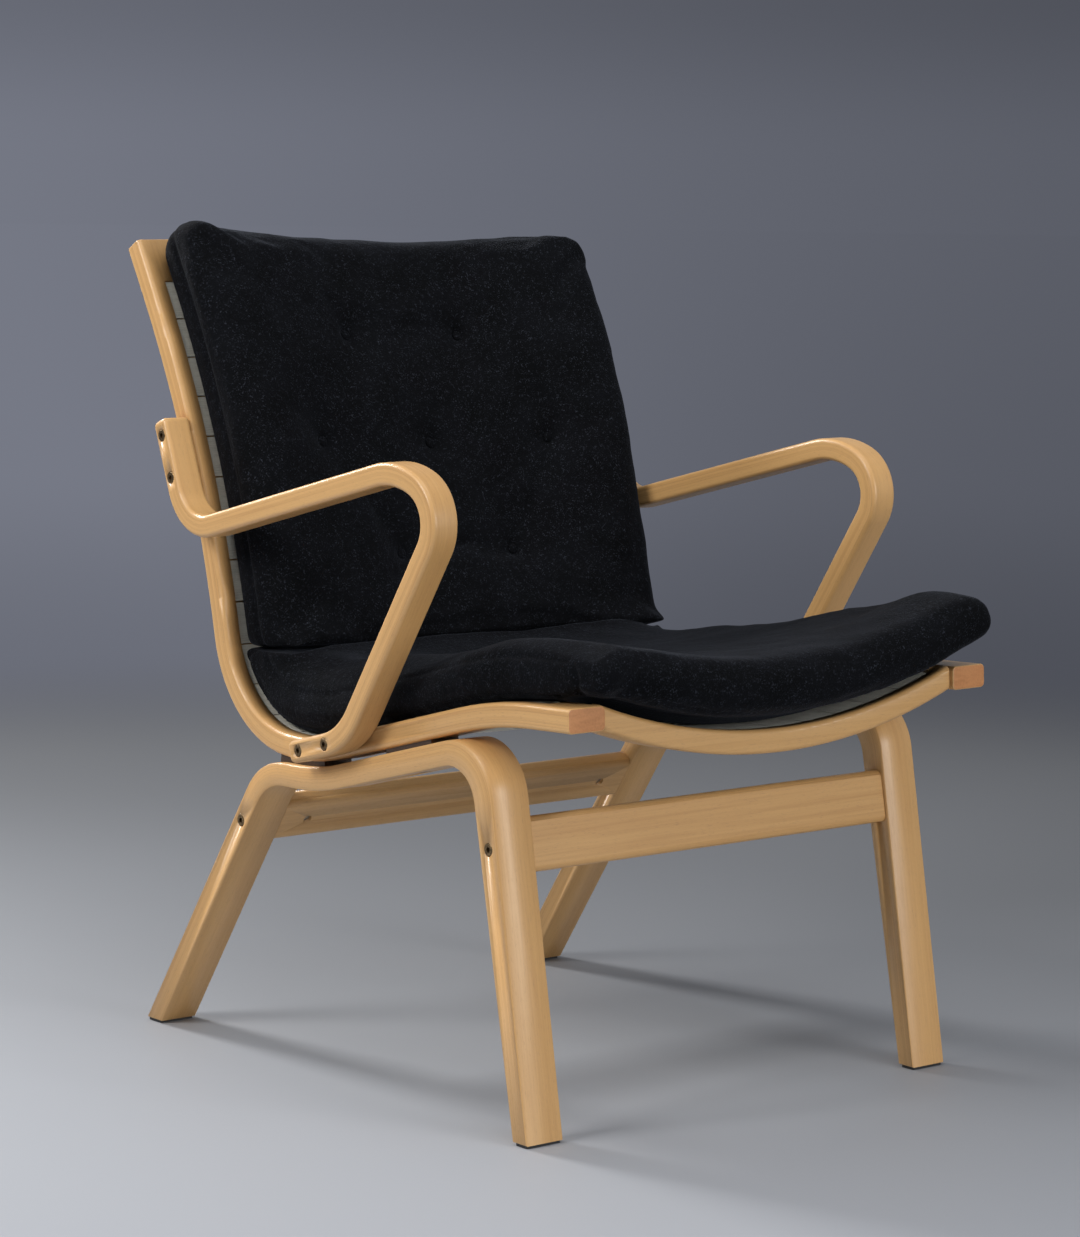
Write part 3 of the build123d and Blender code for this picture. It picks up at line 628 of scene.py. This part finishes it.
long_count = 10
long_pitch = 0.0425
long_edge = 0.212
long_start, long_finish = 0.0206, 1.0630
shelf_end = 0.2555
strap_thick = 0.0013
cross_gap = 0.0018
long_gap = 0.0016

# A strap passes from over to under within a crossing. The web's middle lies web_depth below the
# members' faces, and the straps rise and fall from it by web_lift.
crossing = 0.006
web_depth = 0.0015
web_lift = 0.00075


def over_and_under(travel, pitch, flip):
    """Height of a strap about the middle of the web, 1 over and -1 under."""
    turn = travel / pitch
    nearest = round(turn)
    share = min(1.0, abs(turn - nearest) * pitch / crossing)
    inside = 1 if (int(turn // 1) + flip) % 2 == 0 else -1
    return inside * share * (2 - share)


def on_web(x, spot, level):
    """Point of a strap, from 1 over to -1 under the middle of the web."""
    return (x, *on_member(spot, member_thick - sag(x, spot) - web_depth + level * web_lift))


def strap(name, steps, place, length, width):
    """A strap laid by a function of its place along and across, both from 0 to 1."""
    bpy.ops.object.select_all(action="DESELECT")
    bpy.ops.mesh.primitive_grid_add(x_subdivisions=steps[0], y_subdivisions=steps[1], size=1)
    piece = bpy.context.object
    piece.name = name
    for vertex in piece.data.vertices:
        vertex.co = place(vertex.co.x + 0.5, vertex.co.y + 0.5)
    for corner in piece.data.uv_layers.active.data:
        corner.uv = (corner.uv[0] * length, corner.uv[1] * width)
    thick = piece.modifiers.new("thickness", "SOLIDIFY")
    thick.thickness = strap_thick
    thick.offset = 0
    bpy.ops.object.modifier_apply(modifier=thick.name)
    bpy.ops.object.mode_set(mode="EDIT")
    bpy.ops.mesh.select_all(action="SELECT")
    bpy.ops.mesh.normals_make_consistent(inside=False)
    bpy.ops.object.mode_set(mode="OBJECT")
    return piece


def join_pieces(pieces, name):
    """Makes one piece of several."""
    bpy.ops.object.select_all(action="DESELECT")
    for piece in pieces:
        piece.select_set(True)
    bpy.context.view_layer.objects.active = pieces[0]
    bpy.ops.object.join()
    pieces[0].name = name
    return pieces[0]


def cross_strap(index, low, high):
    """One strap across the chair between two slits."""

    def place(along, over):
        x = (along * 2 - 1) * shelf_end
        beyond = abs(x) >= long_edge
        level = -1.0 if beyond else over_and_under(x + long_edge, long_pitch, index)
        middle = 0.5 + (over - 0.5) * (1 - cross_gap / (high - low))
        return on_web(x, low + middle * (high - low), level)

    return strap("cross_strap", (150, 6), place, 2 * shelf_end, strap_pitch)


def long_strap(column):
    """One strap from the front rail to the top rail."""
    left = -long_edge + column * long_pitch + long_gap / 2
    width = long_pitch - long_gap

    def place(along, over):
        spot = long_start + along * (long_finish - long_start)
        level = 1.0
        if slits[0] < spot < slits[-1]:
            index = bisect(slits, spot) - 1
            pitch = slits[index + 1] - slits[index]
            level = -over_and_under(index * pitch + spot - slits[index], pitch, column)
        return on_web(left + over * width, spot, level)

    return strap("long_strap", (300, 4), place, long_finish - long_start, width)


web_look, tree, shader = plain_look("linen_webbing", roughness=0.86, sheen_weight=0.15)
uv = tree.nodes.new("ShaderNodeUVMap")
split = tree.nodes.new("ShaderNodeSeparateXYZ")
tree.links.new(uv.outputs[0], split.inputs[0])
run, over = split.outputs[0], split.outputs[1]
warp_pitch, weft_pitch = 0.0019, 0.0013
warp = calc(tree, "SINE", calc(tree, "MULTIPLY", over, 2 * pi / warp_pitch))
weft = calc(tree, "SINE", calc(tree, "MULTIPLY", run, 2 * pi / weft_pitch))
threads = calc(tree, "MULTIPLY_ADD", calc(tree, "MULTIPLY", warp, weft), 0.5, 0.5)
slubs = stretched_noise(tree, (run, over, over), (60, 900, 900), 2)
stains = stretched_noise(tree, (run, over, over), (18, 40, 40), 2, 11)
web_tone = calc(tree, "MULTIPLY", slubs, 0.7)
web_tone = calc(tree, "MULTIPLY_ADD", stains, 0.5, web_tone)
web_tone = calc(tree, "MULTIPLY_ADD", threads, 0.25, web_tone)
web_colour = blend_colours(
    tree, soft_step(tree, web_tone, 0.40, 1.05), (0.38, 0.375, 0.32), (0.66, 0.65, 0.57))
tree.links.new(web_colour, shader.inputs["Base Color"])
raised = tree.nodes.new("ShaderNodeBump")
raised.inputs["Strength"].default_value = 0.6
raised.inputs["Distance"].default_value = 0.0003
tree.links.new(threads, raised.inputs["Height"])
tree.links.new(raised.outputs["Normal"], shader.inputs["Normal"])

cross_straps = [
    cross_strap(index, low, high) for index, (low, high) in enumerate(zip(slits, slits[1:]))]
cross_webbing = join_pieces(cross_straps, "cross_webbing")
long_webbing = join_pieces([long_strap(column) for column in range(long_count)], "long_webbing")
for piece, node in ((cross_webbing, "cross_straps"), (long_webbing, "lengthwise_straps")):
    bpy.ops.object.select_all(action="DESELECT")
    piece.select_set(True)
    bpy.context.view_layer.objects.active = piece
    bpy.ops.object.shade_smooth_by_angle(angle=radians(40))
    piece.data.materials.append(web_look)
    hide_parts(node)
    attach(piece, "root")

# --- Seat cushion --------------------------------------------------------------------------------
# A loose pad of foam and fibre in a thick felted wool, near black with fine light flecks. It is
# boxed: the top panel wraps over the front, and a seamed panel closes each side.
pad_gap = 0.0012
side_reach = 0.020
bend_start, back_start = 0.510, 0.80
joint_place = 0.633
joint_dip = 0.010
joint_gap = 0.0005
joint_front = 0.100
seat_clearance, back_clearance = 0.0004, 0.0006
held_height = 0.010
seam_reach = 0.004
seam_width = 0.0034

# The seat cushion's own sizes. What changes along it has a start and a run along the members.
seat_front = -0.036
seat_half_width = 0.260
seat_seam = 0.042
front_bulge = 0.020
front_lift, left_lift = 0.010, 0.017
lift_run = 0.060
left_rise, left_rise_end, left_rise_run = 0.018, 0.100, 0.070
rear_swell, swell_start, swell_run = 0.016, 0.20, 0.18
front_drawn, more_drawn = 0.30, 0.44
drawn_start, drawn_run = 0.34, 0.15
side_held = 0.008
find_on_member = nearest_on(member_line)


def roundness(share):
    """A quarter circle's height: 1 at a share of 0, and 0 from a share of 1."""
    return sqrt(max(0.0, 1 - share * share))


def dimple(away, depth, width):
    """Depth of a soft dimple or groove, by the distance from its middle."""
    return depth * exp(-((away / width) ** 2))


def corner_cut(x, start, width, depth):
    """How far the end of a pad draws back towards its corners."""
    return depth * (1 - roundness(max(0.0, (abs(x) - start) / width)))


def level_place(height, rise):
    """Place along the member's bend and back where its parallel climbs past a height."""
    low, high = bend_start, back_start
    for halving in range(14):
        middle = (low + high) / 2
        if on_member(middle, rise)[1] < height:
            low = middle
        else:
            high = middle
    return low


def joint_height(x, side_share, rise):
    """Height of the level joint between the cushions, lower on the sitter's left."""
    return on_member(joint_place, rise)[1] - joint_dip * max(0.0, side_share) ** 1.5


def pad_faces(x, half_width, side_height, top_draw, under_draw, crown):
    """Heights of a pad's underside and top over the webbing."""
    inset = min(1.0, max(0.0, 1 - (half_width - abs(x)) / side_reach))
    fall = 1 - roundness(inset)
    swell = crown * (1 - (x / half_width) ** 2)
    return pad_gap + under_draw * fall, side_height + top_draw * (1 - fall) + swell


def soft_block(name, place):
    """A closed pad: a cube moved onto its form, remeshed evenly and eased at its edges."""
    bpy.ops.object.select_all(action="DESELECT")
    bpy.ops.mesh.primitive_cube_add(size=2)
    pad = bpy.context.object
    pad.name = name
    bpy.ops.object.mode_set(mode="EDIT")
    bpy.ops.mesh.subdivide(number_cuts=47)
    bpy.ops.object.mode_set(mode="OBJECT")
    for vertex in pad.data.vertices:
        vertex.co = place(*vertex.co)
    bpy.ops.object.mode_set(mode="EDIT")
    bpy.ops.mesh.select_all(action="SELECT")
    bpy.ops.mesh.normals_make_consistent(inside=False)
    bpy.ops.object.mode_set(mode="OBJECT")
    even = pad.modifiers.new("even", "REMESH")
    even.mode = "VOXEL"
    even.voxel_size = 0.006
    bpy.ops.object.modifier_apply(modifier=even.name)
    ease_edges(pad, rounds=4)
    return pad


def ease_edges(pad, rounds):
    """Smooths a pad a little."""
    eased = pad.modifiers.new("eased", "SMOOTH")
    eased.factor = 0.5
    eased.iterations = rounds
    bpy.ops.object.modifier_apply(modifier=eased.name)


def stuff(pad, held):
    """Blows the cover up as its filling does, with the held points fast and a limit on the rest."""
    steps = 20
    most_swell = 0.006
    before = [vertex.co.copy() for vertex in pad.data.vertices]
    pad.vertex_groups.new(name="held").add(held, 1, "REPLACE")
    cover = pad.modifiers.new("cover", "CLOTH")
    cover.settings.vertex_group_mass = "held"
    cover.settings.use_pressure = True
    cover.settings.uniform_pressure_force = 4
    cover.settings.effector_weights.gravity = 0
    cover.settings.quality = 4
    cover.point_cache.frame_start = 1
    cover.point_cache.frame_end = steps
    for step in range(1, steps + 1):
        bpy.context.scene.frame_set(step)
    bpy.context.view_layer.objects.active = pad
    bpy.ops.object.modifier_apply(modifier=cover.name)
    bpy.context.scene.frame_set(1)
    for vertex, start in zip(pad.data.vertices, before):
        moved = vertex.co - start
        if moved.length > most_swell:
            vertex.co = start + moved * (most_swell / moved.length)
    ease_edges(pad, rounds=2)


def press_at_joint(pad, on_top):
    """Keeps the cushions apart where the back one stands on the seat one."""
    for vertex in pad.data.vertices:
        x, y, z = vertex.co
        level = joint_height(x, x / seat_half_width, member_thick - sag(x, joint_place) + pad_gap)
        if on_top:
            vertex.co.z = max(z, level + joint_gap)
        elif y > joint_front:
            vertex.co.z = min(z, level - joint_gap)


def finish_pad(pad, dent, look):
    """One subdivision, then seams and small unevenness pressed in along the normals."""
    fine = pad.modifiers.new("fine", "SUBSURF")
    fine.levels = 1
    fine.render_levels = 1
    bpy.context.view_layer.objects.active = pad
    bpy.ops.object.modifier_apply(modifier=fine.name)
    normals = [vertex.normal.copy() for vertex in pad.data.vertices]
    for vertex, normal in zip(pad.data.vertices, normals):
        vertex.co -= normal * dent(vertex.co, normal)
    pad.data.materials.clear()
    pad.data.materials.append(look)
    bpy.ops.object.select_all(action="DESELECT")
    pad.select_set(True)
    bpy.ops.object.shade_smooth()
    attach(pad, "root")


wool_look, tree, shader = plain_look(
    "felted_wool", roughness=0.95, sheen_weight=0.045, sheen_roughness=0.36,
    sheen_tint=(0.62, 0.72, 0.95, 1))
shader.inputs["Specular IOR Level"].default_value = 0.09
place = tree.nodes.new("ShaderNodeTexCoord").outputs["Object"]


def felt_noise(scale, detail):
    """Plain noise on the pad's own coordinates."""
    texture = tree.nodes.new("ShaderNodeTexNoise")
    texture.inputs["Scale"].default_value = scale
    texture.inputs["Detail"].default_value = detail
    tree.links.new(place, texture.inputs["Vector"])
    return texture.outputs["Fac"]


fibres = felt_noise(640, 2)
tufted = felt_noise(190, 3)
clouds = felt_noise(26, 3)
light_fleck = calc(
    tree, "MULTIPLY", soft_step(tree, fibres, 0.52, 0.72), soft_step(tree, tufted, 0.36, 0.66))
wool_colour = blend_colours(
    tree, soft_step(tree, clouds, 0.3, 0.7), (0.0018, 0.0021, 0.0028), (0.0032, 0.0037, 0.0051))
wool_colour = blend_colours(
    tree, calc(tree, "MULTIPLY", light_fleck, 0.75), wool_colour, (0.037, 0.042, 0.056))
tree.links.new(wool_colour, shader.inputs["Base Color"])
raised = tree.nodes.new("ShaderNodeBump")
raised.inputs["Strength"].default_value = 0.7
raised.inputs["Distance"].default_value = 0.0009
tree.links.new(calc(tree, "ADD", fibres, tufted), raised.inputs["Height"])
tree.links.new(raised.outputs["Normal"], shader.inputs["Normal"])


def seat_form(along, x_share, level):
    """The seat cushion before it is stuffed, from a cube's coordinates."""
    x = x_share * seat_half_width
    under, top = pad_faces(
        x, seat_half_width, seat_seam, top_draw=0.010, under_draw=0.004, crown=0.012)
    front = seat_front + front_bulge + corner_cut(x, start=0.236, width=0.024, depth=0.010)
    front -= front_bulge * roundness(level)
    level_base = member_thick - sag(x, joint_place)
    height = under + (top - under) * (level + 1) / 2
    joint = joint_height(x, x_share, level_base + under)
    finish = level_place(joint - seat_clearance, level_base + height)
    spot = front + (along + 1) / 2 * (finish - front)

    # The front stands a little off its rail, most on the sitter's left, and the rear is plumper.
    leftness = ((x_share + 1) / 2) ** 2
    under += (front_lift + left_lift * leftness) * ease((lift_run - spot) / lift_run)
    top += left_rise * leftness * ease((left_rise_end - spot) / left_rise_run)
    top += rear_swell * ease((spot - swell_start) / swell_run)

    # The top is more hollow than the webbing in front, and follows it near the joint.
    drawn_up = front_drawn + more_drawn * ease((spot - drawn_start) / drawn_run)
    low = member_thick - sag(x, spot) + under
    high = member_thick - sag(x, spot, drawn_up) + top
    return (x, *on_member(spot, low + (high - low) * (level + 1) / 2))


seat_pad = soft_block("seat_pad", seat_form)


def seat_place(co):
    """Where a point of the seat cushion lies along the member and over the webbing."""
    reached, rise = find_on_member(co)
    return reached, rise - member_thick + sag(co.x, reached)


# The webbing holds the underside, and the seams hold the sides.
held = []
for vertex in seat_pad.data.vertices:
    reached, height = seat_place(vertex.co)
    at_side = abs(vertex.co.x) > seat_half_width - side_held
    if height < held_height or (at_side and abs(height - seat_seam) < seam_reach):
        held.append(vertex.index)
stuff(seat_pad, held)
press_at_joint(seat_pad, on_top=False)

panel_start, panel_end = 0.006, 0.62
panel_middle, panel_half_height = 0.0245, 0.0185
panel_corner = 0.018


def seat_dents(co, normal):
    """The side panels' seams, and a used cushion's soft unevenness."""
    reached, height = seat_place(co)
    dent = 0.0
    if abs(normal.x) > 0.35 and abs(co.x) > seat_half_width - side_reach:
        middle = Vector(((panel_end + panel_start) / 2, panel_middle))
        past_end = abs(reached - middle.x) - (panel_end - panel_start) / 2 + panel_corner
        past_edge = abs(height - middle.y) - panel_half_height + panel_corner
        outside = Vector((max(past_end, 0), max(past_edge, 0))).length
        from_seam = outside + min(max(past_end, past_edge), 0) - panel_corner
        dent += dimple(from_seam, depth=0.0028, width=seam_width)
    if height > 0.02:
        dent += 0.0035 * noise.noise(co * 9) + 0.0010 * noise.noise(co * 31)
    return dent


finish_pad(seat_pad, seat_dents, wool_look)
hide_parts("seat_cushion")

# --- Back cushion --------------------------------------------------------------------------------
# The same stuffed wool, with one seam all round its edge and seven tufts. It stands on the seat
# cushion, a little turned, and leans on the webbing between the arms.
back_half_width = 0.2635
back_finish = 1.0776
back_turn = 0.0314
turn_run = 0.12
widening_run = 0.44
upper_widening = 0.022
lower_shift, upper_shift = 0.0075, 0.006
top_bulge = 0.020
corner_droop, left_droop = 0.008, 0.006
lip_depth, lip_start, lip_run = 0.012, 0.3, 0.7
back_seam = 0.034
edge_held = 0.012
tuft_held, tuft_height = 0.007, 0.04
tuft_pitch = 0.149
tuft_rows = ((0.951, 2, -0.001), (0.832, 3, 0.0055), (0.713, 2, 0.0063))
tufts = [(spot, (index - (count - 1) / 2) * tuft_pitch + leftward)
         for spot, count, leftward in tuft_rows for index in range(count)]


def spread(x, spot):
    """The back cushion lies a little to the sitter's left and is wider towards its top."""
    share = min(1.0, max(0.0, (spot - joint_place) / widening_run)) ** 2
    return x * (1 + upper_widening * share) + lower_shift + upper_shift * share


def turned_by(x, spot):
    """How far the turn moves a place along the back, from nothing at the joint."""
    return back_turn * x * min(1.0, max(0.0, (spot - joint_place) / turn_run))


def back_point(spot, x, height):
    """A point of the back cushion by its own place, width and height over the webbing."""
    wide = spread(x, spot)
    rise = member_thick - sag(wide, spot) + height
    return (wide, *on_member(spot - turned_by(x, spot), rise))


def back_place(co):
    """The other way round: place, width and height of a point of the back cushion."""
    reached, rise = find_on_member(co)
    x = (co.x - spread(0, reached)) / (spread(1, reached) - spread(0, reached))
    return reached + turned_by(x, reached), x, rise - member_thick + sag(co.x, reached)


def from_tuft(spot, x, tuft):
    """Distance of a place on the back cushion from a tuft."""
    return sqrt((spot - tuft[0]) ** 2 + (x - tuft[1]) ** 2)


def back_form(along, x_share, level):
    """The back cushion before it is stuffed, from a cube's coordinates."""
    x = x_share * back_half_width
    under, top = pad_faces(
        x, back_half_width, side_height=0.060, top_draw=0.010, under_draw=0.008, crown=0.007)
    height = under + (top - under) * (level + 1) / 2
    finish = back_finish - top_bulge - corner_cut(x, start=0.234, width=0.030, depth=0.016)
    finish += top_bulge * roundness(level) - (corner_droop + left_droop * x_share) * x_share**2
    base = member_thick - sag(x, joint_place)
    joint = joint_height(x, x_share, base + under)
    begin = level_place(joint + back_clearance, base + height)
    begin += lip_depth * (1 - roundness(max(0.0, (level - lip_start) / lip_run)))
    spot = begin + (along + 1) / 2 * (finish - begin)
    if level > 0.99:
        for tuft in tufts:
            away = from_tuft(spot, x, tuft)
            height -= dimple(away, depth=0.010, width=0.016) + dimple(away, depth=0.004, width=0.045)
    return back_point(spot, x, height)


back_pad = soft_block("back_pad", back_form)

# The webbing holds the underside, the buttons the tufts, and the seam the edge.
held = []
for vertex in back_pad.data.vertices:
    spot, x, height = back_place(vertex.co)
    nearest = min(from_tuft(spot, x, tuft) for tuft in tufts)
    buttoned = height > tuft_height and nearest < tuft_held
    edge = abs(x) > back_half_width - edge_held or spot > back_finish - edge_held
    seamed = edge and abs(height - back_seam) < seam_reach
    if height < held_height or buttoned or seamed:
        held.append(vertex.index)
stuff(back_pad, held)
press_at_joint(back_pad, on_top=True)

# The arms press the back cushion's sides flat.
arm_inside = 0.2732
arm_top = 0.62
for vertex in back_pad.data.vertices:
    if vertex.co.z < arm_top:
        vertex.co.x = min(arm_inside, max(-arm_inside, vertex.co.x))


def back_dents(co, normal):
    """The seam all round, the tufts' small mouths and soft unevenness."""
    spot, x, height = back_place(co)
    dent = dimple(height - back_seam, depth=0.0026, width=seam_width)
    if height > 0.045:
        for tuft in tufts:
            dent += dimple(from_tuft(spot, x, tuft), depth=0.004, width=0.0075)
        dent += 0.0030 * noise.noise(co * 8 + Vector((3, 5, 7))) + 0.0010 * noise.noise(co * 29)
    return dent


finish_pad(back_pad, back_dents, wool_look)
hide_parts("back_cushion")

# --- Tuft buttons --------------------------------------------------------------------------------
# Small domed moulds covered in the same wool, pulled down into the tufts by a thread.
well_outside = 0.12
button_rise = 0.0006
bpy.ops.object.select_all(action="DESELECT")
bpy.ops.mesh.primitive_cylinder_add(vertices=24, radius=0.0062, depth=0.004)
button = bpy.context.object
bpy.ops.object.mode_set(mode="EDIT")
bpy.ops.mesh.select_all(action="DESELECT")
bpy.ops.object.mode_set(mode="OBJECT")
for face in button.data.polygons:
    face.select = face.normal.z > 0.9
bpy.ops.object.mode_set(mode="EDIT")
bpy.ops.mesh.select_mode(type="FACE")
bpy.ops.mesh.inset(thickness=0.002, depth=0.0011)
bpy.ops.mesh.inset(thickness=0.0025, depth=0.0005)
bpy.ops.object.mode_set(mode="OBJECT")
buttons = [button]
for tuft in tufts[1:]:
    another = button.copy()
    another.data = button.data.copy()
    bpy.context.scene.collection.objects.link(another)
    buttons.append(another)
for button, (spot, x) in zip(buttons, tufts):
    middle = Vector(back_point(spot, x, 0))
    outward = (Vector(back_point(spot, x, 0.1)) - middle).normalized()
    bottom = back_pad.ray_cast(middle + outward * well_outside, -outward)[1]
    facing = outward.to_track_quat("Z", "Y").to_matrix().to_4x4()
    button.data.transform(Matrix.Translation(bottom + outward * button_rise) @ facing)
tuft_buttons = join_pieces(buttons, "tuft_buttons")
tuft_buttons.data.materials.clear()
tuft_buttons.data.materials.append(wool_look)
round_off = tuft_buttons.modifiers.new("round", "SUBSURF")
round_off.levels = 1
round_off.render_levels = 1
bpy.ops.object.modifier_apply(modifier=round_off.name)
bpy.ops.object.shade_smooth()
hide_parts("back_tuft_buttons")
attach(tuft_buttons, "root")
